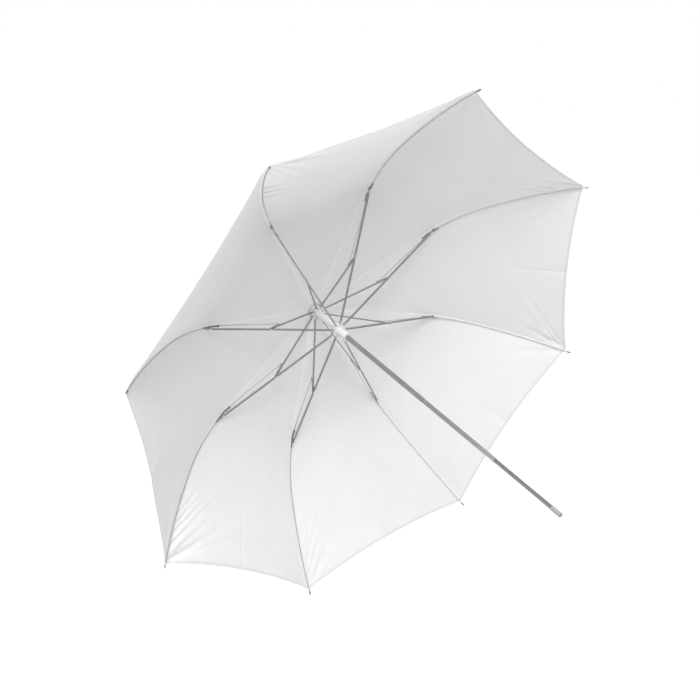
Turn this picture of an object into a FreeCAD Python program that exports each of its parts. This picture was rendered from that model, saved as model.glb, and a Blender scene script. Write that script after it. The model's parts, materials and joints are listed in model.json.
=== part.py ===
"""Two-fold shoot-through lighting umbrella: eight-spoke folding frame on a three-stage telescoping shaft.

Work frame used below: z runs along the shaft towards the crown with z = 0 at the crown's hinge ring, x is
the direction of the first spoke, y is sideways to it. Every piece is exported in the part's own frame, whose
origin is the middle of the hand-grip stretch of the shaft: Y along the shaft towards the crown, Z along the
first spoke and X sideways.
"""
import FreeCAD, Part
import math
import os

V = FreeCAD.Vector

# Frame layout, in the plane of one spoke: radius from the shaft and depth behind the crown's hinge ring
SPOKES = 8
STEP = 360.0 / SPOKES
ELBOW_R = 251.5
ELBOW_DEPTH = 36.0
TIP_R = 470.0
TIP_DEPTH = 194.5
CROWN_PIVOT_R = 9.5
RUNNER_PIVOT_R = 10.0
RUNNER_DEPTH = 64.0
STRUT_SEAT = 124.4          # from the runner hinge to the strut's rivet, along the main rib
TAB_LENGTH = 24.0           # strut rivet to control-rod rivet
TAB_ANGLE = 145.7           # of that tab, from the main rib's line
BRACKET_LENGTH = 24.0       # elbow rivet to the inner end of the outer rib's bracket
BRACKET_ANGLE = 165.9       # of that bracket, from the main rib's line
BRACKET_CREST = 2.2         # of the bracket's arch, above the line of its two rivets
RIB_RISE = 19.0             # bow of the outer rib off its chord
RIB_PEAK = 95.0             # where the bow is highest, from the elbow

# Telescoping shaft: outer diameters and the depths at which each visible stretch ends
WALL = 0.4
MAIN_OD = 8.5
MID_OD = 7.5
TAIL_OD = 6.5
MAIN_END = 300.0
MID_END = 470.0
TAIL_END = 590.0
TUBE_LAP = 60.0
CAP_LENGTH = 18.0
CAP_R = 3.6
CAP_SPIGOT = 10.0
FIT = 0.04                  # radial running fit of tube in tube
FLARE = 6.0                 # rolled-out upper end of an inner tube
NECK = 4.0                  # narrowed mouth of an outer tube
SLIM_LEAD = 1.0             # taper from a tube's bare stretch to its hidden one
SLIM_RISE = 0.04
TUBE_TOP = 5.0              # how far the main tube reaches past the hinge ring

# Links: depth seen from the side, and the sideways layers they run in
RIB_W = 3.2
RIB_T = 2.2
STRUT_W = 3.0
LINK_T = 1.4
ROD_W = 1.1
ROD_T = 1.0
LAYER_GAP = 0.2
CHANNEL_WALL = 0.4
EYE_R = 1.9
ROD_EYE_R = 1.5
WIRE_W = 1.6
BRACKET_W = 3.2
BRACKET_GRIP = 11.2         # how far the bracket grips the wire past the elbow
TAB_W = 2.4
CHANNEL_END = 8.0           # solid end of a main rib
STRUT_END = 7.5
ELBOW_EYE_R = 2.1
PIN_R = 0.6
PIN_FIT = 0.08
HEAD_R = 1.2
HEAD_T = 0.35

# Crown, runner and their hinge rings
RING_R = 0.55
RING_FIT = 0.12
FLANGE_R = 12.0
FLANGE_T = 6.4
SLOT_FIT = 0.25
STOP_R = 6.3
STOP_GAP = 0.2              # between the stop sleeve and the raised runner
HUB_HEAD_R = 10.0
HUB_HEAD = 8.4
CAP_DISC_R = 14.5
CAP_DISC_T = 1.6
CAP_BUTTON_R = 7.5
CAP_BUTTON_T = 2.6
CANOPY_TOP = 9.0
RUNNER_R = 8.0
RUNNER_BORE_FIT = 0.08
RUNNER_SLEEVE = 24.0
CLIP_W = 4.0
CLIP_T = 0.5
CLIP_SILL = 5.5             # of the leaf spring's window, above the runner's foot
CLIP_WINDOW = 13.2
RUNNER_LIP = 4.0            # raised grip round the runner's foot
RUNNER_LIP_RISE = 0.6
SEAT = 0.02                 # slack of a piece pressed on its carrier

# Canopy
CLOTH = 0.4
SEAM = 0.15                 # half the gap between two panels
ELBOW_LIFT = 5.85           # of the cloth over the elbow, square to the outer rib's chord
ELBOW_LEAD = 3.0            # from the cloth's bend to the elbow, along that chord
PEAK_LIFT = 3.0
TIP_LIFT = 2.9
HEM_INSET = 10.0            # how far the hem curves in between two tips
HEM_RISE = 7.0
GORE_BOW = 12.0             # bow of the cloth midway between two ribs
CLOTH_START = 14.0
FACETS = 3                  # flat facets along each arc of an outer panel
TIP_PIN_R = 1.6
TIP_PIN = 10.0
TIP_NOSE = 2.0

# Derived layout
GRIP_DEPTH = (MAIN_END + MID_END) / 2
RIB_SIDE = RIB_T / 2
STRUT_T0 = RIB_SIDE + LAYER_GAP
STRUT_T1 = STRUT_T0 + LINK_T
ROD_T0 = STRUT_T1 + LAYER_GAP
ROD_T1 = ROD_T0 + ROD_T
LINK_MID = (STRUT_T0 + STRUT_T1) / 2
EYE_CORNER = EYE_R / math.cos(math.pi / 8)
STOP_LENGTH = RUNNER_DEPTH - FLANGE_T / 2 - STOP_GAP


def at(r, z):
    return V(r, 0, z)


def polar(start, length, degrees):
    a = math.radians(degrees)
    return V(start.x + length * math.cos(a), 0, start.z + length * math.sin(a))


def heading(p, q):
    return math.degrees(math.atan2(q.z - p.z, q.x - p.x))


def gap(p, q):
    return (q - p).Length


CROWN_PIVOT = at(CROWN_PIVOT_R, 0)
RUNNER_PIVOT = at(RUNNER_PIVOT_R, -RUNNER_DEPTH)
ELBOW = at(ELBOW_R, -ELBOW_DEPTH)
TIP = at(TIP_R, -TIP_DEPTH)
RIB_HEADING = heading(RUNNER_PIVOT, ELBOW)
SEAT_PIN = polar(RUNNER_PIVOT, STRUT_SEAT, RIB_HEADING)
ROD_PIN = polar(SEAT_PIN, TAB_LENGTH, RIB_HEADING + TAB_ANGLE)
BRACKET_PIN = polar(ELBOW, BRACKET_LENGTH, RIB_HEADING + BRACKET_ANGLE)
CHORD = heading(ELBOW, TIP)
CHORD_LENGTH = gap(ELBOW, TIP)


def off_chord(along, rise):
    """A point given along the outer rib's chord from the elbow, and square to it on the crown's side."""
    return polar(polar(ELBOW, along, CHORD), rise, CHORD + 90)


# General solids

def bar(p, q, width, t0, t1, shift=0.0):
    """A straight strip from p to q in the spoke's plane, moved square to its run by shift."""
    n = heading(p, q) + 90
    low = shift - width / 2
    high = shift + width / 2
    ring = [polar(p, low, n), polar(q, low, n), polar(q, high, n), polar(p, high, n)]
    ring = [v + V(0, t0, 0) for v in ring]
    return Part.Face(Part.makePolygon(ring + ring[:1])).extrude(V(0, t1 - t0, 0))


def disc(p, r, t0, t1):
    return Part.makeCylinder(r, t1 - t0, p + V(0, t0, 0), V(0, 1, 0))


def boss(p, r, t0, t1, sides=8):
    """A flat-sided eye or head of half-width r round a pivot."""
    corner = r / math.cos(math.pi / sides)
    ring = [polar(p, corner, 360.0 * (i + 0.5) / sides) + V(0, t0, 0) for i in range(sides)]
    return Part.Face(Part.makePolygon(ring + ring[:1])).extrude(V(0, t1 - t0, 0))


def joined(first, *others):
    return first.multiFuse(list(others)).removeSplitter()


def turned(profile):
    """A solid of revolution about the shaft from (radius, z) points."""
    pts = [V(r, 0, z) for r, z in profile]
    return Part.Face(Part.makePolygon(pts + pts[:1])).revolve(V(0, 0, 0), V(0, 0, 1), 360)


def channel(p, q, width, t0, t1, inset):
    """A folded-strip channel, open on the side away from the crown, with solid ends of the given inset."""
    body = bar(p, q, width, t0, t1)
    a = polar(p, inset, heading(p, q))
    b = polar(q, inset, heading(q, p))
    side = CHANNEL_WALL * (t1 - t0) / RIB_T
    return body.cut(bar(a, b, width, t0 + side, t1 - side, -CHANNEL_WALL))


def two_arcs(start, peak, end):
    """Two arcs that meet at peak, both running along the chord's direction there."""
    edges = []
    for p, q in ((start, peak), (peak, end)):
        along = gap(p, q)
        lean = abs(heading(p, q) - CHORD)
        radius = along / 2 / math.sin(math.radians(lean))
        centre = polar(peak, radius, CHORD - 90)
        mid = (p + q) * 0.5 - centre
        edges.append(Part.Arc(p, centre + mid * (radius / mid.Length), q).toShape())
    return edges


# Pieces of one spoke, all in the plane of the first spoke

def main_rib():
    body = channel(RUNNER_PIVOT, ELBOW, RIB_W, -RIB_SIDE, RIB_SIDE, CHANNEL_END)
    for pivot in (RUNNER_PIVOT, ELBOW):
        body = joined(body, boss(pivot, EYE_R, -RIB_SIDE, RIB_SIDE))
    body = body.cut(boss(RUNNER_PIVOT, RING_R + PIN_FIT, -RIB_T, RIB_T))
    # the strut's rivet sits in a solid saddle pressed into the channel
    a = polar(RUNNER_PIVOT, STRUT_SEAT - RIB_W, RIB_HEADING)
    b = polar(RUNNER_PIVOT, STRUT_SEAT + RIB_W, RIB_HEADING)
    return joined(
        body,
        bar(a, b, RIB_W, -RIB_SIDE, RIB_SIDE),
        boss(SEAT_PIN, HEAD_R, -RIB_SIDE - HEAD_T, 0, 6),
        boss(ELBOW, HEAD_R, -RIB_SIDE - HEAD_T, 0, 6),
        disc(ELBOW, PIN_R, 0, STRUT_T1 + LAYER_GAP),
        boss(ELBOW, HEAD_R, STRUT_T1 + LAYER_GAP / 4, STRUT_T1 + HEAD_T, 6),
    )


def crown_strut():
    body = channel(CROWN_PIVOT, SEAT_PIN, STRUT_W, STRUT_T0, STRUT_T1, STRUT_END)
    body = joined(
        body,
        boss(CROWN_PIVOT, EYE_R, STRUT_T0, STRUT_T1),
        boss(SEAT_PIN, EYE_R, STRUT_T0, STRUT_T1),
        bar(SEAT_PIN, ROD_PIN, TAB_W, STRUT_T0, STRUT_T1),
        boss(ROD_PIN, EYE_R, STRUT_T0, STRUT_T1),
        boss(SEAT_PIN, HEAD_R, STRUT_T1 - HEAD_T, STRUT_T1 + LAYER_GAP / 2, 6),
        disc(ROD_PIN, PIN_R, STRUT_T1 - LINK_T / 2, ROD_T1 + LAYER_GAP),
        boss(ROD_PIN, HEAD_R, ROD_T1 + LAYER_GAP / 4, ROD_T1 + HEAD_T, 6),
    )
    return body.cut(boss(CROWN_PIVOT, RING_R + PIN_FIT, STRUT_T0 - 1, STRUT_T1 + 1))


def control_rod():
    body = joined(
        bar(ROD_PIN, BRACKET_PIN, ROD_W, ROD_T0, ROD_T1),
        boss(ROD_PIN, ROD_EYE_R, ROD_T0, ROD_T1),
        boss(BRACKET_PIN, ROD_EYE_R, ROD_T0, ROD_T1),
        boss(BRACKET_PIN, HEAD_R, ROD_T1 - HEAD_T, ROD_T1 + HEAD_T, 6),
    )
    return body.cut(boss(ROD_PIN, PIN_R + PIN_FIT, ROD_T0 - 1, ROD_T1 + 1))


def outer_rib():
    peak = off_chord(RIB_PEAK, RIB_RISE)
    spine = two_arcs(ELBOW, peak, TIP)
    top = []
    low = []
    for edge in spine:
        centre = edge.Curve.Center
        radius = edge.Curve.Radius
        ends = [edge.Vertexes[0].Point, edge.valueAt((edge.FirstParameter + edge.LastParameter) / 2)]
        ends.append(edge.Vertexes[1].Point)
        for side, store in ((WIRE_W / 2, top), (-WIRE_W / 2, low)):
            p, m, q = [centre + (v - centre) * ((radius + side) / radius) for v in ends]
            store.append(Part.Arc(p, m, q).toShape())
    caps = [
        Part.makeLine(top[0].Vertexes[0].Point, low[0].Vertexes[0].Point),
        Part.makeLine(top[1].Vertexes[1].Point, low[1].Vertexes[1].Point),
    ]
    outline = Part.Wire(Part.__sortEdges__(top + low + caps))
    lift = V(0, STRUT_T0, 0)
    wire = Part.Face(outline).extrude(V(0, LINK_T, 0))
    wire.translate(lift)
    # arched bracket: inner end, crest, elbow, and a grip along the wire
    crest = (ELBOW + BRACKET_PIN) * 0.5 + V(0, 0, BRACKET_CREST)
    first = spine[0]
    tail = first.valueAt(first.getParameterByLength(BRACKET_GRIP))
    body = joined(
        wire,
        bar(BRACKET_PIN, crest, BRACKET_W, STRUT_T0, STRUT_T1),
        bar(crest, ELBOW, BRACKET_W, STRUT_T0, STRUT_T1),
        boss(ELBOW, ELBOW_EYE_R, STRUT_T0, STRUT_T1),
        bar(ELBOW, tail, BRACKET_W, STRUT_T0, STRUT_T1),
        boss(BRACKET_PIN, EYE_R, STRUT_T0, STRUT_T1),
        boss(BRACKET_PIN, HEAD_R, STRUT_T0 - LAYER_GAP / 2, STRUT_T0 + HEAD_T, 6),
    )
    body = body.cut(boss(ELBOW, PIN_R + PIN_FIT, STRUT_T0 - 1, STRUT_T1 + 1))
    last = spine[1]
    way = last.tangentAt(last.LastParameter)
    if way.x < 0:
        way = way * -1
    foot = TIP + V(0, LINK_MID, 0)
    side = V(0, 1, 0)
    rise = way.cross(side)
    sections = []
    for along, r in ((0, TIP_PIN_R), (TIP_PIN - TIP_NOSE, TIP_PIN_R), (TIP_PIN, TIP_PIN_R / 2)):
        turns = [math.radians(60 * i) for i in range(6)]
        pts = [foot + way * along + side * (r * math.cos(a)) + rise * (r * math.sin(a)) for a in turns]
        sections.append(Part.makePolygon(pts + pts[:1]))
    pin = Part.makeLoft(sections, True, True)
    return Part.Compound([body, pin])


def spun(p, degrees):
    a = math.radians(degrees)
    return V(p.x * math.cos(a) - p.y * math.sin(a), p.x * math.sin(a) + p.y * math.cos(a), p.z)


CLOTH_ELBOW = off_chord(-ELBOW_LEAD, ELBOW_LIFT)
CLOTH_PEAK = off_chord(RIB_PEAK, RIB_RISE + PEAK_LIFT)
CLOTH_TIP = off_chord(CHORD_LENGTH, TIP_LIFT)


def canopy_inner():
    """The flat panel of one gore between the crown and two elbows, first gore, between spokes one and two."""
    half = STEP / 2
    corners = []
    start = at(CLOTH_START, CANOPY_TOP)
    for p, side in ((start, -1), (CLOTH_ELBOW, -1), (CLOTH_ELBOW, 1), (start, 1)):
        q = spun(p, half + side * half)
        corners.append(q + spun(V(0, -side * 2 * SEAM, 0), half))
    face = Part.Face(Part.makePolygon(corners + corners[:1]))
    return face.extrude(V(0, 0, CLOTH))


def canopy_outer():
    """The curved panel carried by one outer rib, out to the middle of the gore on each side."""
    half = STEP / 2
    ridge = two_arcs(CLOTH_ELBOW + V(2 * SEAM, 0, -2 * SEAM), CLOTH_PEAK, CLOTH_TIP)
    flat = math.cos(math.radians(half))
    start = at((CLOTH_ELBOW.x + 2 * SEAM) * flat, CLOTH_ELBOW.z - 2 * SEAM)
    end = at(CLOTH_TIP.x * flat - HEM_INSET, CLOTH_TIP.z + HEM_RISE)
    run = gap(start, end)
    way = heading(start, end)
    share = gap(CLOTH_ELBOW, CLOTH_PEAK) / (gap(CLOTH_ELBOW, CLOTH_PEAK) + gap(CLOTH_PEAK, CLOTH_TIP))
    radius = (run * run / 4 + GORE_BOW * GORE_BOW) / (2 * GORE_BOW)
    centre = polar(polar(start, run / 2, way), radius - GORE_BOW, way - 90)

    def on_arc(part):
        p = polar(start, run * part, way) - centre
        return centre + p * (radius / p.Length)

    # each side is a strip of flat facets between matching stations on the ridge and on the crease
    ridge_pts = [ridge[0].Vertexes[0].Point]
    crease_pts = [on_arc(0.0)]
    for edge, a, b in ((ridge[0], 0.0, share), (ridge[1], share, 1.0)):
        for i in range(FACETS):
            part = (i + 1.0) / FACETS
            sweep = (edge.LastParameter - edge.FirstParameter) * part
            ridge_pts.append(edge.valueAt(edge.FirstParameter + sweep))
            crease_pts.append(on_arc(a + (b - a) * part))
    facets = []
    for side in (-1, 1):
        shift = spun(V(0, -side * SEAM, 0), side * half)
        rim = [spun(p, side * half) + shift for p in crease_pts]
        for i in range(2 * FACETS):
            a, b, c, d = ridge_pts[i], rim[i], rim[i + 1], ridge_pts[i + 1]
            for tri in ([a, b, c, a], [a, c, d, a]):
                facets.append(Part.Face(Part.makePolygon(tri)).extrude(V(0, 0, CLOTH)))
    return joined(facets[0], *facets[1:])


# Pieces on the shaft

def mouth(bore, next_r, end):
    """The outline's inner side at a tube's lower end, where a narrowed stretch guides the next tube."""
    lip = next_r + FIT
    return [(lip, end), (lip, end + NECK), (bore, end + NECK)]


def main_tube():
    r = MAIN_OD / 2
    bore = r - WALL
    return turned([(bore, TUBE_TOP), (r, TUBE_TOP), (r, -MAIN_END)] + mouth(bore, MID_OD / 2, -MAIN_END))


def flare(bore, end, outer_r):
    """The outline round a tube's hidden upper end, rolled out as wide as the outer tube lets it run."""
    return [(bore, end), (outer_r - WALL - FIT, end), (outer_r - WALL - FIT, end - FLARE)]


def mid_tube():
    r = MID_OD / 2
    slim = r - SLIM_RISE
    top = TUBE_LAP - MAIN_END
    profile = flare(r - WALL, top + FLARE, MAIN_OD / 2)
    profile += [(slim, top), (slim, SLIM_LEAD - MAIN_END), (r, -MAIN_END), (r, -MID_END)]
    return turned(profile + mouth(r - WALL, TAIL_OD / 2, -MID_END))


def tail_tube():
    r = TAIL_OD / 2
    top = TUBE_LAP - MID_END
    profile = flare(r - WALL, top + FLARE, MID_OD / 2)
    return turned(profile + [(r, top), (r, -TAIL_END), (r - WALL, -TAIL_END)])


def end_cap():
    bore = TAIL_OD / 2 - WALL - SEAT
    z = -TAIL_END
    profile = [(0, z + CAP_SPIGOT), (bore, z + CAP_SPIGOT), (bore, z)]
    profile += [(CAP_R, z), (CAP_R, z - CAP_LENGTH), (0, z - CAP_LENGTH)]
    return turned(profile)


def ring_groove(apothem, z):
    """Room for a hinge wire: a flat-sided groove round the shaft, open outwards."""
    g = RING_R + RING_FIT
    corner = (apothem - g) / math.cos(math.radians(STEP / 2))
    core = [spun(at(corner, z - g), STEP * (k + 0.5)) for k in range(SPOKES)]
    band = Part.makeCylinder(FLANGE_R + 1, 2 * g, V(0, 0, z - g))
    return band.cut(Part.Face(Part.makePolygon(core + core[:1])).extrude(V(0, 0, 2 * g)))


def crown_hub():
    bore = MAIN_OD / 2 + SEAT
    half = FLANGE_T / 2
    profile = [(0, TUBE_TOP + SEAT), (bore, TUBE_TOP + SEAT), (bore, -STOP_LENGTH), (STOP_R, -STOP_LENGTH)]
    profile += [(STOP_R, -half), (FLANGE_R, -half), (FLANGE_R, half), (HUB_HEAD_R, half)]
    profile += [(HUB_HEAD_R, HUB_HEAD), (0, HUB_HEAD)]
    hub = turned(profile).cut(ring_groove(CROWN_PIVOT_R, 0))
    # slots run the flange's full height, so that the struts can hang straight down
    width = LINK_T + 2 * SLOT_FIT
    inner = CROWN_PIVOT_R - EYE_CORNER - SLOT_FIT
    for k in range(SPOKES):
        slot = Part.makeBox(FLANGE_R, width, FLANGE_T + 1, V(inner, STRUT_T0 - SLOT_FIT, -half - 1))
        slot.rotate(V(0, 0, 0), V(0, 0, 1), k * STEP)
        hub = hub.cut(slot)
    return hub


def canopy_cap():
    low = CANOPY_TOP + CLOTH + 2 * SEAM
    profile = [(0, HUB_HEAD + SEAT), (HUB_HEAD_R, HUB_HEAD + SEAT), (HUB_HEAD_R, low), (CAP_DISC_R, low)]
    crown = low + CAP_DISC_T
    profile += [(CAP_DISC_R, crown), (CAP_BUTTON_R, crown), (CAP_BUTTON_R, crown + CAP_BUTTON_T)]
    profile.append((0, crown + CAP_BUTTON_T))
    return turned(profile)


def ring(apothem, z):
    """Hinge wire laced round the shaft, with one straight run square to each spoke."""
    half = apothem * math.tan(math.radians(STEP / 2))
    run = Part.makeCylinder(RING_R, 4 * half, V(apothem, -2 * half, z), V(0, 1, 0))
    reach = 2 * apothem
    side = reach * math.tan(math.radians(STEP / 2))
    low = z - 2 * RING_R
    wedge = Part.makePolygon([V(0, 0, low), V(reach, -side, low), V(reach, side, low), V(0, 0, low)])
    run = run.common(Part.Face(wedge).extrude(V(0, 0, 4 * RING_R)))
    runs = []
    for k in range(SPOKES):
        piece = run.copy()
        piece.rotate(V(0, 0, 0), V(0, 0, 1), k * STEP)
        runs.append(piece)
    return runs[0].multiFuse(runs[1:])


def runner():
    z = -RUNNER_DEPTH
    half = FLANGE_T / 2
    bore = MAIN_OD / 2 + RUNNER_BORE_FIT
    foot = z - half - RUNNER_SLEEVE
    neck = RUNNER_R - RUNNER_LIP_RISE
    profile = [(bore, z + half), (FLANGE_R, z + half), (FLANGE_R, z - half), (neck, z - half)]
    profile += [(neck, foot + RUNNER_LIP), (RUNNER_R, foot + RUNNER_LIP), (RUNNER_R, foot), (bore, foot)]
    body = turned(profile).cut(ring_groove(RUNNER_PIVOT_R, z))
    inner = RUNNER_PIVOT_R - EYE_CORNER - SLOT_FIT
    width = RIB_T + 2 * SLOT_FIT
    for k in range(SPOKES):
        slot = Part.makeBox(FLANGE_R, width, FLANGE_T + 2, V(inner, -width / 2, z - EYE_CORNER - SLOT_FIT))
        slot.rotate(V(0, 0, 0), V(0, 0, 1), k * STEP)
        body = body.cut(slot)
    # window for the leaf spring that grips the shaft
    window = Part.makeBox(RUNNER_R, CLIP_W + 2 * SLOT_FIT, CLIP_WINDOW)
    window.translate(V(-RUNNER_R, -CLIP_W / 2 - SLOT_FIT, foot + CLIP_SILL))
    return body.cut(window)


def runner_clip():
    """Leaf spring in the runner's window: its foot lies on the sill and its crest presses on the shaft."""
    z = -RUNNER_DEPTH - FLANGE_T / 2 - RUNNER_SLEEVE + CLIP_SILL
    length = CLIP_WINDOW
    touch = MAIN_OD / 2 + RUNNER_BORE_FIT
    out = RUNNER_R - RUNNER_LIP_RISE - CLIP_T
    spine = [(out, z), (out, z + length * 0.2), (touch, z + length * 0.5)]
    spine += [(out, z + length * 0.8), (out, z + length)]
    inner = [V(-r, -CLIP_W / 2, h) for r, h in spine]
    outer = [V(-r - CLIP_T, -CLIP_W / 2, h) for r, h in reversed(spine)]
    ring_pts = inner + outer
    return Part.Face(Part.makePolygon(ring_pts + ring_pts[:1])).extrude(V(0, CLIP_W, 0))


# Export: work frame (x, y, z) becomes the part's (y, z + GRIP_DEPTH, x)

TO_PART = FreeCAD.Matrix(0, 1, 0, 0, 0, 0, 1, GRIP_DEPTH, 1, 0, 0, 0, 0, 0, 0, 1)


def export(shape, name):
    out = shape.copy()
    out.transformShape(TO_PART)
    out.exportStep("parts/" + name + ".step")


def export_round(shape, name):
    for k in range(SPOKES):
        piece = shape.copy()
        piece.rotate(V(0, 0, 0), V(0, 0, 1), k * STEP)
        export(piece, name + "_" + str(k + 1))


os.makedirs("parts", exist_ok=True)

export(main_tube(), "main_tube")
export(mid_tube(), "mid_tube")
export(tail_tube(), "tail_tube")
export(end_cap(), "end_cap")
export(crown_hub(), "crown_hub")
export(ring(CROWN_PIVOT_R, 0), "crown_wire")
export(canopy_cap(), "canopy_cap")
export(runner(), "runner")
export(ring(RUNNER_PIVOT_R, -RUNNER_DEPTH), "runner_wire")
export(runner_clip(), "runner_clip")
export_round(crown_strut(), "crown_strut")
export_round(main_rib(), "main_rib")
export_round(control_rod(), "control_rod")
export_round(outer_rib(), "outer_rib")
export_round(canopy_inner(), "canopy_inner")
export_round(canopy_outer(), "canopy_outer")
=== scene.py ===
"""Two-fold shoot-through umbrella: cloth, finishes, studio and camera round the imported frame."""
import bpy
import json
import math
import numpy as np
from mathutils import Matrix, Vector


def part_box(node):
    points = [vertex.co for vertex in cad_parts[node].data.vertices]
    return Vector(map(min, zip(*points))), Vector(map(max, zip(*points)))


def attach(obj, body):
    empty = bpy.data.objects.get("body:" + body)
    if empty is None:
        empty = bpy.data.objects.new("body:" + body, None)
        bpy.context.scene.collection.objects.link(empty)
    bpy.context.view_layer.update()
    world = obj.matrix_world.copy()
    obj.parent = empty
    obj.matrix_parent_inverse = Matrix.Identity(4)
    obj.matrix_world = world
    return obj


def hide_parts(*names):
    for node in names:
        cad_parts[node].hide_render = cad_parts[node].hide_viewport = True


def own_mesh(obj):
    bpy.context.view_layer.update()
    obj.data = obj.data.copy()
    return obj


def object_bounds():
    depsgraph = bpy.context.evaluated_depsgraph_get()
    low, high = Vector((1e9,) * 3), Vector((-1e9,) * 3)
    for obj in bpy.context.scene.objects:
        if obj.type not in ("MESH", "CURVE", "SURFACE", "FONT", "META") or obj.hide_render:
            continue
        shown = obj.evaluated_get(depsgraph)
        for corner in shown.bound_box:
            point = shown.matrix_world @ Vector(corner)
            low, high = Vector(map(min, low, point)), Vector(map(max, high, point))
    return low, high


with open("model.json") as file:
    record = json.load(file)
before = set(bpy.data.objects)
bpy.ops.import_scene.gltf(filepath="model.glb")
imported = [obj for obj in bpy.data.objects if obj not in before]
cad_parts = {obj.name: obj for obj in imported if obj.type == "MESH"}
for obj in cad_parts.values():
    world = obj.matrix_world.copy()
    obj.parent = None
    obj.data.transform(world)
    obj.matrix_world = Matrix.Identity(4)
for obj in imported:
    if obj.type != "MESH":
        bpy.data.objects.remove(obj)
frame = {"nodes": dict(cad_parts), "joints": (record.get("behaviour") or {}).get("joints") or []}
cad_box = [list(v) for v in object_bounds()]

# ---------------------------------------------------------------- camera

cam = bpy.data.objects.new("camera", bpy.data.cameras.new("camera"))
bpy.context.scene.collection.objects.link(cam)
cam.data.sensor_width = 36.0
cam.data.lens = 55.53
cam.data.clip_end = 50.0
cam.matrix_world = Matrix((
    (0.76741571, 0.06011953, -0.63832498, -1.17786989),
    (-0.57975095, 0.49021921, -0.65082561, -0.92228956),
    (0.27379184, 0.86952330, 0.41105627, 0.74210940),
    (0, 0, 0, 1)))
bpy.context.scene.camera = cam

# ---------------------------------------------------------------- sizes of the cloth, in metres

SPOKES = 8
STEP = math.radians(360 / SPOKES)
FLAT = math.cos(STEP / 2)       # radius midway between two spokes, as a share of that on a spoke

# the cloth's line over a spoke: radius and rise at the crown, then along and square to the chord, elbow to tip
START = np.array([0.0112, 0.0096])
ELBOW_LEAD = 0.003
ELBOW_LIFT = 0.00605
PEAK_ALONG = 0.095
PEAK_LIFT = 0.0222
TIP_LIFT = 0.0031
RIDGE_EASE = 0.006              # width over which its kinks are rounded
TIP_INSET = 0.0017              # tip of the chord from the corner of the outer panel's box
TIP_UNDER = 0.0024

# the line midway between two spokes, against the one over a spoke
HEM_INSET = 0.0105
HEM_RISE = 0.0072
GORE_BOW = 0.0125
GORE_EASE = 0.022

# rows from crown to elbow and from elbow to hem, and columns from seam to seam
INNER, OUTER, ACROSS = 34, 62, 84
FINE = 800                      # steps of a line while it is being shaped

# columns stand closer beside the seams and at the crease: how many times, and within what share of the width
SEAM_CROWD, SEAM_NEAR = 1.6, 0.12
CREASE_CROWD, CREASE_NEAR = 5, 0.012

# how slack each gore's cloth is beside its first and its second rib
SLACK = [(1.0, 0.5), (0.6, 1.5), (0.5, 1.0), (0.8, 1.2), (1.0, 2.3), (0.6, 0.6), (0.5, 0.4), (1.8, 0.7)]

# height of the packing crease down the middle of each gore
CREASE = [-0.0011, 0.0009, 0.0010, -0.0008, 0.0012, -0.0009, 0.0007, -0.0010]
CREASE_WIDTH, CREASE_FOOT = 0.0020, 0.012
CREASE_TOP = 0.13               # where it has faded out, above the hem

# rays out of the two lower corners
RAYS = 7
RAY_WIDTH = 0.0045
RAY_CLEAR = 0.02                # grows to full height over this distance from the corner

# puckers along a seam, where its thread pulls the cloth
PUCKERS = 11
PUCKER_FIRST, PUCKER_STEP = 0.03, 0.017
PUCKER_WIDTH = 0.0042
PUCKER_TOP = 0.13
PUCKER_CLEAR = 0.006

# single folds that leave a seam: gore, side, height above the hem, lean upwards, reach, rise
PULLS = [
    (4, 1, 0.004, 1.00, 0.060, 0.0016),
    (4, 1, 0.022, 1.25, 0.055, 0.0018),
    (4, 1, 0.042, 1.35, 0.045, 0.0016),
    (4, 1, 0.060, 1.40, 0.040, 0.0014),
    (4, 1, 0.078, 1.50, 0.030, 0.0010),
    (7, 0, 0.130, 0.10, 0.034, 0.0022),
    (7, 0, 0.152, 0.02, 0.038, 0.0024),
    (7, 0, 0.174, -0.12, 0.034, 0.0020),
    (2, 1, 0.030, 0.90, 0.045, 0.0014),
    (2, 1, 0.050, 1.00, 0.050, 0.0015),
    (2, 1, 0.072, 1.05, 0.045, 0.0012),
    (1, 1, 0.016, 0.60, 0.050, 0.0018),
    (3, 1, 0.014, 1.30, 0.050, 0.0012),
    (3, 1, 0.034, 1.50, 0.045, 0.0010),
    (0, 1, 0.040, 0.50, 0.040, 0.0015),
    (0, 1, 0.062, 0.60, 0.040, 0.0013),
    (5, 0, 0.030, 0.90, 0.040, 0.0008),
]
PULL_WIDTH = 0.0030
PULL_DIP, PULL_DIP_OFF, PULL_DIP_WIDTH = 0.6, 0.0055, 0.0035
PULL_CLEAR = 0.005

# slow unevenness of cloth that is taut one way only
WAVES = 9

# all of it dies out towards the seams and towards the crown
SEAM_CALM, CROWN_CALM = 0.008, 0.05

# ---------------------------------------------------------------- lines of the cloth

HINGE = {j["name"]: j for j in frame["joints"]}


def radius_depth(joint):
    x, y, z = HINGE[joint]["pos_m"]
    return math.hypot(x, z), y


CROWN_Y = radius_depth("crown_hinge_1")[1]
ELBOW = np.array([HINGE["elbow_hinge_1"]["pos_m"][2], HINGE["elbow_hinge_1"]["pos_m"][1] - CROWN_Y])
low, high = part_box("canopy_outer_1")
TIP = np.array([high.z - TIP_INSET, low.y - CROWN_Y - TIP_UNDER])
CHORD = TIP - ELBOW
LENGTH = float(np.linalg.norm(CHORD))
CHORD = CHORD / LENGTH
UP = np.array([-CHORD[1], CHORD[0]])


def off_chord(along, rise):
    return ELBOW + CHORD * along + UP * rise


def arc(start, peak, n):
    """Points of a circle's arc from start that runs along the chord at peak."""
    d = start - peak
    along, drop = abs(float(d @ CHORD)), -float(d @ UP)
    r = (along * along + drop * drop) / (2 * drop)
    half = math.asin(along / r)
    sign = 1 if float(d @ CHORD) > 0 else -1
    a = np.linspace(half, 0, n) * sign
    return peak - UP * r + r * (np.outer(np.sin(a), CHORD) + np.outer(np.cos(a), UP))


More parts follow.
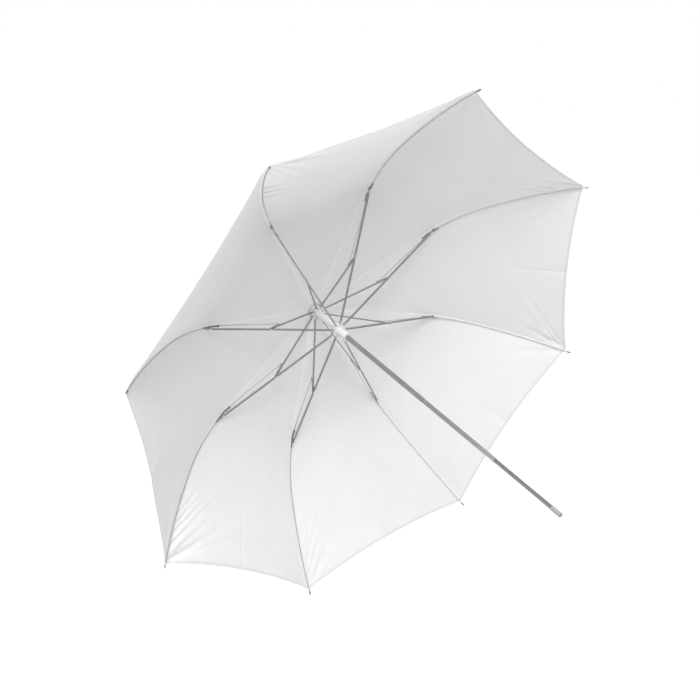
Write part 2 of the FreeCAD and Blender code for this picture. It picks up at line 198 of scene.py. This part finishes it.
def resampled(pts, n):
    """n points at even distances along a line, and the line's length."""
    s = np.r_[0, np.cumsum(np.linalg.norm(np.diff(pts, axis=0), axis=1))]
    t = np.linspace(0, s[-1], n)
    return np.stack([np.interp(t, s, pts[:, i]) for i in range(pts.shape[1])], 1), s[-1]


def eased(pts, width):
    """Rounds a line's kinks over a width, with its two ends kept."""
    pts, total = resampled(pts, FINE + 1)
    step = total / FINE
    k = max(1, int(3 * width / step))
    kernel = np.exp(-0.5 * (np.arange(-k, k + 1) * step / width) ** 2)
    kernel /= kernel.sum()
    before = 2 * pts[0] - pts[k:0:-1]
    after = 2 * pts[-1] - pts[-2:-k - 2:-1]
    full = np.vstack([before, pts, after])
    return np.stack([np.convolve(full[:, i], kernel, "valid") for i in range(2)], 1)


RIDGE_ELBOW = off_chord(-ELBOW_LEAD, ELBOW_LIFT)
RIDGE_PEAK = off_chord(PEAK_ALONG, PEAK_LIFT)
RIDGE_TIP = off_chord(LENGTH, TIP_LIFT)
ridge_all = eased(np.vstack([
    np.linspace(START, RIDGE_ELBOW, 120)[:-1],
    arc(RIDGE_ELBOW, RIDGE_PEAK, 80)[:-1],
    arc(RIDGE_TIP, RIDGE_PEAK, 120)[::-1]]), RIDGE_EASE)

MIDWAY = np.array([FLAT, 1])
GORE_ELBOW = RIDGE_ELBOW * MIDWAY
GORE_HEM = RIDGE_TIP * MIDWAY + np.array([-HEM_INSET, HEM_RISE])
run = GORE_HEM - GORE_ELBOW
square = np.array([-run[1], run[0]]) / float(np.linalg.norm(run))
t = np.linspace(0, 1, 160)[:, None]
gore_all = eased(np.vstack([
    np.linspace(START * MIDWAY, GORE_ELBOW, 120)[:-1],
    GORE_ELBOW + run * t + square * (4 * GORE_BOW * t * (1 - t))]), GORE_EASE)


def stations(line, radius):
    """The rows' points on a line, counted apart on both sides of a radius."""
    i = int(np.argmin(abs(line[:, 0] - radius)))
    inner, _ = resampled(line[:i + 1], INNER + 1)
    outer, _ = resampled(line[i:], OUTER + 1)
    return np.vstack([inner, outer[1:]])


RIDGE = stations(ridge_all, RIDGE_ELBOW[0])
GORE = stations(gore_all, RIDGE_ELBOW[0] * FLAT)
ROWS = len(RIDGE)

share = np.linspace(0, 1, 2001)
crowd = (1 + SEAM_CROWD * (np.exp(-share / SEAM_NEAR) + np.exp((share - 1) / SEAM_NEAR))
         + CREASE_CROWD * np.exp(-((share - 0.5) / CREASE_NEAR) ** 2))
crowd = np.cumsum(crowd) - crowd[0]
columns = np.interp(np.linspace(0, crowd[-1], ACROSS + 1), crowd, share)
columns = (columns + 1 - columns[::-1]) / 2

# ---------------------------------------------------------------- surface of the cloth


def around(r, y, angle):
    """Row-frame points from radius, depth and the angle round the shaft from +Z towards +X."""
    return np.stack([r * np.sin(angle), CROWN_Y + y, r * np.cos(angle)], -1)


def bump(x, width):
    return np.exp(-(x / width) ** 2)


def grown(x, over):
    """Rises from 0 to 1 over a distance."""
    return np.clip(x / over, 0, 1)


def folds(k, along, across, hem):
    """How far the cloth of gore k stands off its taut shape, from distances to crown, first seam and hem."""
    rng = np.random.default_rng(40 + k)
    width = across.max(1, keepdims=True)
    sides = (across, width - across)

    mid = abs(across - width / 2)
    h = (CREASE[k] * (np.exp(-mid / CREASE_WIDTH) + 0.4 * np.exp(-mid / CREASE_FOOT))
         * np.clip(1 - hem / CREASE_TOP, 0, 1) ** 0.7)

    for x, slack in zip(sides, SLACK[k]):
        d = np.hypot(x, hem) + 1e-6
        angle = np.arctan2(hem, x)
        for _ in range(RAYS):
            heading = rng.uniform(0.22, 1.38)
            reach = rng.uniform(0.05, 0.13)
            size = slack * rng.uniform(0.0005, 0.0014)
            h += size * bump((angle - heading) * d, RAY_WIDTH) * grown(d, RAY_CLEAR) * bump(d, reach)

    for x, slack in zip(sides, SLACK[k]):
        for i in range(PUCKERS):
            height = PUCKER_FIRST + PUCKER_STEP * i + rng.uniform(-0.006, 0.006)
            lean = rng.uniform(0.5, 1.1)
            reach = rng.uniform(0.018, 0.05)
            size = slack * rng.uniform(0.0003, 0.0013) * math.exp(-(height / PUCKER_TOP) ** 2)
            h += size * bump(hem - height + lean * x, PUCKER_WIDTH) * bump(x, reach) * grown(x, PUCKER_CLEAR)

    for gore, side, height, lean, reach, size in PULLS:
        if gore == k:
            x = sides[side]
            off = (hem - height - lean * x) / math.hypot(1, lean)
            fold = bump(off, PULL_WIDTH) - PULL_DIP * bump(off - PULL_DIP_OFF, PULL_DIP_WIDTH)
            h += size * fold * bump(x, reach) * grown(x, PULL_CLEAR)

    for _ in range(WAVES):
        fx, fy = rng.uniform(8, 34), rng.uniform(3, 14)
        h += rng.uniform(0.00008, 0.00030) * np.sin(fx * across + fy * hem * 2 + rng.uniform(0, 6.28))
    return h * grown(sides[0], SEAM_CALM) * grown(sides[1], SEAM_CALM) * grown(along, CROWN_CALM)


def distances(pts, axis):
    """Distance covered along a grid's rows or columns, from their first points."""
    steps = np.cumsum(np.linalg.norm(np.diff(pts, axis=axis), axis=2), axis)
    return np.concatenate([np.zeros_like(steps.take([0], axis)), steps], axis)


def normals(pts):
    n = np.cross(np.gradient(pts, axis=0), np.gradient(pts, axis=1))
    n /= np.linalg.norm(n, axis=2, keepdims=True)
    return n * np.sign(n[ROWS // 2, ACROSS // 2, 1])


def gore_grid(k):
    """Points, normals and distances from the first seam and the hem, for the gore between spokes k and k + 1."""
    u = columns[None, :, None]
    a0 = k * STEP
    first = around(RIDGE[:, 0], RIDGE[:, 1], a0)[:, None, :]
    second = around(RIDGE[:, 0], RIDGE[:, 1], a0 + STEP)[:, None, :]
    middle = around(GORE[:, 0], GORE[:, 1], a0 + STEP / 2)[:, None, :]
    pts = first * (1 - u) + second * u + (middle - (first + second) / 2) * (4 * u * (1 - u))
    across = distances(pts, 1)
    along = distances(pts, 0)
    hem = along[-1:] - along
    pts = pts + normals(pts) * folds(k, along, across, hem)[..., None]
    return pts, normals(pts), across, hem


GRIDS = [gore_grid(k) for k in range(SPOKES)]
WELD = 2e5                      # cells to the metre in which two corners are one


def cloth_mesh(name, patches):
    """One mesh from patches of the gore grids: (gore, first row, last row, first column, last column).

    Its map holds the distance from the nearer seam, negative on the far side, and the distance from the hem.
    """
    verts, faces, corner_normals, corner_map = [], [], [], []
    index = {}
    for g, r0, r1, c0, c1 in patches:
        pts, nrm, across, hem = GRIDS[g]
        x = across - across[:, -1:]
        if c0 == 0:
            x = np.where(np.arange(ACROSS + 1) <= ACROSS // 2, across, x)

        def vertex(r, c):
            key = tuple(np.round(pts[r, c] * WELD).astype(int))
            if key not in index:
                index[key] = len(verts)
                verts.append(pts[r, c])
            return index[key]

        for r in range(r0, r1):
            for c in range(c0, c1):
                quad = [(r, c), (r + 1, c), (r + 1, c + 1), (r, c + 1)]
                faces.append([vertex(*q) for q in quad])
                corner_normals += [nrm[q] for q in quad]
                corner_map += [(x[q], hem[q]) for q in quad]
    mesh = bpy.data.meshes.new(name)
    mesh.from_pydata([tuple(v) for v in verts], [], faces)
    uv = mesh.uv_layers.new(name="cloth")
    uv.data.foreach_set("uv", np.array(corner_map, dtype=np.float32).ravel())
    mesh.polygons.foreach_set("use_smooth", [True] * len(mesh.polygons))
    mesh.update()
    mesh.normals_split_custom_set([tuple(n) for n in corner_normals])
    obj = bpy.data.objects.new(name, mesh)
    bpy.context.scene.collection.objects.link(obj)
    return obj


# ---------------------------------------------------------------- materials

class Net:
    """Short calls for building a node tree."""

    def __init__(self, tree):
        self.tree = tree
        tree.nodes.clear()

    def feed(self, socket, value):
        if isinstance(value, bpy.types.NodeSocket):
            self.tree.links.new(value, socket)
        else:
            socket.default_value = value

    def add(self, kind, inputs=None, **props):
        node = self.tree.nodes.new(kind)
        for key, value in props.items():
            setattr(node, key, value)
        for key, value in (inputs or {}).items():
            self.feed(node.inputs[key], value)
        return node

    def math(self, op, a, b=None):
        inputs = {0: a} if b is None else {0: a, 1: b}
        return self.add("ShaderNodeMath", inputs, operation=op).outputs[0]

    def ramp(self, value, stops):
        node = self.add("ShaderNodeValToRGB", {0: value})
        for element, (place, tone) in zip(node.color_ramp.elements, stops):
            element.position = place
            element.color = grey(tone)
        return node.outputs[0]

    def mix(self, fac, a, b, blend="MIX"):
        return self.add("ShaderNodeMix", {0: fac, 6: a, 7: b}, data_type="RGBA", blend_type=blend).outputs[2]

    def noise(self, vector, scale, detail=3.0):
        inputs = {"Vector": vector, "Scale": scale, "Detail": detail, "Roughness": 0.55}
        return self.add("ShaderNodeTexNoise", inputs).outputs[0]

    def near(self, value, centre, reach):
        """1 where a value is within reach of a centre."""
        off = self.math("ABSOLUTE", self.math("SUBTRACT", value, centre))
        return self.math("LESS_THAN", off, reach)

    def between(self, value, least, most):
        above = self.math("GREATER_THAN", value, least)
        return self.math("MULTIPLY", above, self.math("LESS_THAN", value, most))

    def seen(self):
        """1 for what the lens sees, directly, mirrored or through, and 0 for the light that falls on things."""
        path = self.add("ShaderNodeLightPath")
        indirect = self.math("MAXIMUM", path.outputs["Is Glossy Ray"], path.outputs["Is Transmission Ray"])
        return self.math("MAXIMUM", path.outputs["Is Camera Ray"], indirect)


def grey(v):
    return (v, v, v, 1)


def material(name):
    mat = bpy.data.materials.new(name)
    mat.use_nodes = True
    return mat, Net(mat.node_tree)


SEAM_IN, SEAM_OUT = 0.0007, 0.0034      # folded edge of the cloth, from the middle of the seam
SEAM_THREAD = 0.0019
HEM_TURN, HEM_THREAD = 0.005, 0.0042
STITCHES = 2100.0                       # radians to the metre
THREADS = 9000.0


def cloth_material():
    mat, n = material("white_nylon")
    uv = n.add("ShaderNodeUVMap", uv_map="cloth").outputs[0]
    xy = n.add("ShaderNodeSeparateXYZ", {0: uv})
    signed, hem = xy.outputs[0], xy.outputs[1]
    x = n.math("ABSOLUTE", signed)

    def dashes(where):
        return n.math("GREATER_THAN", n.math("SINE", n.math("MULTIPLY", where, STITCHES)), -0.35)

    def laid(base, mask, tone, cover):
        """A tone over a share of what a mask picks out."""
        return n.mix(n.math("MULTIPLY", mask, cover), base, grey(tone))

    # mottling of thin cloth
    col = n.mix(1.0, (0.86, 0.86, 0.865, 1), n.ramp(n.noise(uv, 14.0, 4.0), [(0.3, 0.965), (0.7, 1.0)]), "MULTIPLY")
    # seam: two folded layers on each side, with their edge and their thread
    col = n.mix(n.between(x, SEAM_IN, SEAM_OUT), col, grey(0.93))
    col = laid(col, n.near(x, SEAM_OUT, 0.0004), 0.62, 0.3)
    col = laid(col, n.math("MULTIPLY", n.near(x, SEAM_THREAD, 0.0003), dashes(hem)), 0.74, 0.6)
    # hem: turned over twice, with its thread
    col = laid(col, n.math("LESS_THAN", hem, HEM_TURN), 0.72, 0.6)
    col = laid(col, n.math("MULTIPLY", n.near(hem, HEM_THREAD, 0.00035), dashes(signed)), 0.66, 0.6)
    # weave, fine crumple and the step down from the seam's folded layers
    warp = n.math("SINE", n.math("MULTIPLY", signed, THREADS))
    weft = n.math("SINE", n.math("MULTIPLY", hem, THREADS))
    weave = n.math("MULTIPLY", n.math("MULTIPLY", warp, weft), 0.00002)
    crumple = n.math("MULTIPLY", n.noise(uv, 70.0, 5.0), 0.0011)
    step = n.math("MULTIPLY", n.math("SUBTRACT", 1.0, n.math("LESS_THAN", x, 0.0033)), -0.0003)
    height = n.math("ADD", n.math("ADD", weave, crumple), step)
    relief = n.add("ShaderNodeBump", {"Height": height, "Strength": 0.6, "Distance": 1.0}).outputs[0]
    front = n.add("ShaderNodeBsdfPrincipled",
                  {"Base Color": col, "Roughness": 0.62, "Sheen Weight": 0.12, "Sheen Roughness": 0.4,
                   "Specular IOR Level": 0.25, "Normal": relief})
    through = n.add("ShaderNodeBsdfTranslucent", {"Color": col, "Normal": relief})
    mixed = n.add("ShaderNodeMixShader", {0: 0.38, 1: front.outputs[0], 2: through.outputs[0]})
    n.add("ShaderNodeOutputMaterial", {0: mixed.outputs[0]})
    return mat


def metal(name, colour, rough, dark=None, dark_bands=(), streak=900.0):
    """Plated steel with drawing marks. dark_bands are stretches of radius from the shaft that are blackened joints."""
    mat, n = material(name)
    pos = n.add("ShaderNodeTexCoord").outputs["Object"]
    p = n.add("ShaderNodeSeparateXYZ", {0: pos})
    wear = n.ramp(n.noise(pos, 60.0, 4.0), [(0.35, 0.0), (0.75, 1.0)])
    col = n.mix(wear, (*[c * 0.86 for c in colour], 1), (*colour, 1))
    r = n.math("SQRT", n.math("ADD", n.math("MULTIPLY", p.outputs[0], p.outputs[0]),
                              n.math("MULTIPLY", p.outputs[2], p.outputs[2])))
    for band in dark_bands:
        col = n.mix(n.between(r, *band), col, (*dark, 1))
    fine = n.noise(pos, streak, 2.0)
    spread = n.math("ADD", n.math("MULTIPLY", fine, 0.16), rough - 0.08)
    relief = n.add("ShaderNodeBump", {"Height": fine, "Strength": 0.12, "Distance": 0.0002}).outputs[0]
    b = n.add("ShaderNodeBsdfPrincipled",
              {"Base Color": col, "Metallic": 1.0, "Roughness": spread, "Normal": relief})
    n.add("ShaderNodeOutputMaterial", {0: b.outputs[0]})
    return mat


def plastic(name, colour, rough):
    """Moulded plastic with a fine grain."""
    mat, n = material(name)
    pos = n.add("ShaderNodeTexCoord").outputs["Object"]
    col = n.mix(n.noise(pos, 90.0), (*[c * 0.96 for c in colour], 1), (*colour, 1))
    grain = n.noise(pos, 1400.0)
    spread = n.math("ADD", n.math("MULTIPLY", grain, 0.12), rough - 0.06)
    relief = n.add("ShaderNodeBump", {"Height": grain, "Strength": 0.25, "Distance": 0.00008}).outputs[0]
    b = n.add("ShaderNodeBsdfPrincipled",
              {"Base Color": col, "Roughness": spread, "Specular IOR Level": 0.5, "Coat Weight": 0.15,
               "Coat Roughness": 0.15, "Normal": relief})
    n.add("ShaderNodeOutputMaterial", {0: b.outputs[0]})
    return mat


ELBOW_R = float(ELBOW[0])
STRUT_R = radius_depth("rod_hinge_1")[0]
BEYOND = 1.0                            # past every piece
DARK = (0.27, 0.27, 0.275)

NYLON = cloth_material()
RIB = metal("rib_nickel", (0.50, 0.50, 0.51), 0.38, DARK, [(ELBOW_R - 0.004, ELBOW_R + 0.004)])
STRUT = metal("strut_nickel", (0.48, 0.48, 0.49), 0.38, DARK, [(STRUT_R + 0.010, STRUT_R + 0.025)])
ROD = metal("rod_nickel", (0.55, 0.55, 0.56), 0.38, DARK, [(ELBOW_R - 0.024, ELBOW_R - 0.017)])
WIRE = metal("spring_wire", (0.56, 0.56, 0.57), 0.38, DARK,
             [(ELBOW_R - 0.026, ELBOW_R + 0.009), (float(TIP[0]) + 0.001, BEYOND)])
CHROME = metal("shaft_chrome", (0.49, 0.49, 0.495), 0.22, streak=500.0)
# the tail tube's chrome is painted darker than its real plate, as a painted dark reflection of the room round it
TAIL_PAINTED_DARK = metal("tail_chrome", (0.28, 0.28, 0.285), 0.22, streak=500.0)
WHITE = plastic("white_moulding", (0.79, 0.79, 0.795), 0.30)
CAP = plastic("cap_moulding", (0.36, 0.365, 0.37), 0.42)

FINISH = {
    "main_tube": CHROME, "mid_tube": CHROME, "tail_tube": TAIL_PAINTED_DARK, "end_cap": CAP,
    "crown_hub": WHITE, "canopy_cap": WHITE, "runner": WHITE,
    "crown_wire": ROD, "runner_wire": ROD, "runner_clip": ROD,
}
KINDS = {"crown_strut": STRUT, "main_rib": RIB, "control_rod": ROD, "outer_rib": WIRE,
         "canopy_inner": NYLON, "canopy_outer": NYLON}
for name, obj in frame["nodes"].items():
    finish = FINISH.get(name) or KINDS[name.rsplit("_", 1)[0]]
    obj.data.materials.clear()
    obj.data.materials.append(finish)

# ---------------------------------------------------------------- canopy

HALF = ACROSS // 2
for k in range(SPOKES):
    i = str(k + 1)
    gore = cloth_mesh("canopy_gore_" + i, [(k, 0, INNER, 0, ACROSS)])
    gore.data.materials.append(NYLON)
    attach(gore, "canopy_inner_" + i)
    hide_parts("canopy_inner_" + i)
    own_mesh(gore)

    left = (k - 1) % SPOKES
    panel = cloth_mesh("canopy_panel_" + i, [(left, INNER, ROWS - 1, HALF, ACROSS),
                                             (k, INNER, ROWS - 1, 0, HALF)])
    panel.data.materials.append(NYLON)
    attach(panel, "outer_rib_" + i)
    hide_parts("canopy_outer_" + i)
    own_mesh(panel)

# ---------------------------------------------------------------- studio

AMBIENT = 0.39                  # light of the room on things; the background itself is seen at 1
FLOOR_SIZE, FLOOR_DROP = 14, 0.72
FLOOR_GLOW = 0.72

world = bpy.data.worlds.new("studio")
bpy.context.scene.world = world
world.use_nodes = True
w = Net(world.node_tree)
strength = w.math("ADD", w.math("MULTIPLY", w.seen(), 1 - AMBIENT), AMBIENT)
sky = w.add("ShaderNodeBackground", {0: grey(1), 1: strength})
w.add("ShaderNodeOutputWorld", {0: sky.outputs[0]})

bpy.ops.mesh.primitive_plane_add(size=FLOOR_SIZE, location=(0, 0, cad_box[0][2] - FLOOR_DROP))
floor = bpy.context.object
floor.name = "floor"
mat, n = material("floor_white")
dust = n.noise(n.add("ShaderNodeTexCoord").outputs["Object"], 3.0)
matt = n.add("ShaderNodeBsdfDiffuse", {0: n.mix(dust, grey(0.80), grey(0.82))})
glow = n.add("ShaderNodeEmission", {0: grey(1), 1: FLOOR_GLOW})
both = n.add("ShaderNodeAddShader", {0: matt.outputs[0], 1: glow.outputs[0]})
pick = n.add("ShaderNodeMixShader", {0: n.seen(), 1: matt.outputs[0], 2: both.outputs[0]})
n.add("ShaderNodeOutputMaterial", {0: pick.outputs[0]})
floor.data.materials.append(mat)


def lamp(name, place, aim, size, power):
    data = bpy.data.lights.new(name, "AREA")
    data.shape = "DISK"
    data.size = size
    data.energy = power
    obj = bpy.data.objects.new(name, data)
    bpy.context.scene.collection.objects.link(obj)
    obj.location = place
    obj.rotation_euler = (Vector(aim) - Vector(place)).to_track_quat("-Z", "Y").to_euler()


lamp("key", (-1.46, -0.68, 2.25), (0.1, 0.2, -0.1), 1.3, 80)
lamp("fill", (0.6, -2.2, 0.4), (0, 0.2, 0), 1.6, 3)

bpy.context.scene.view_settings.view_transform = "Standard"
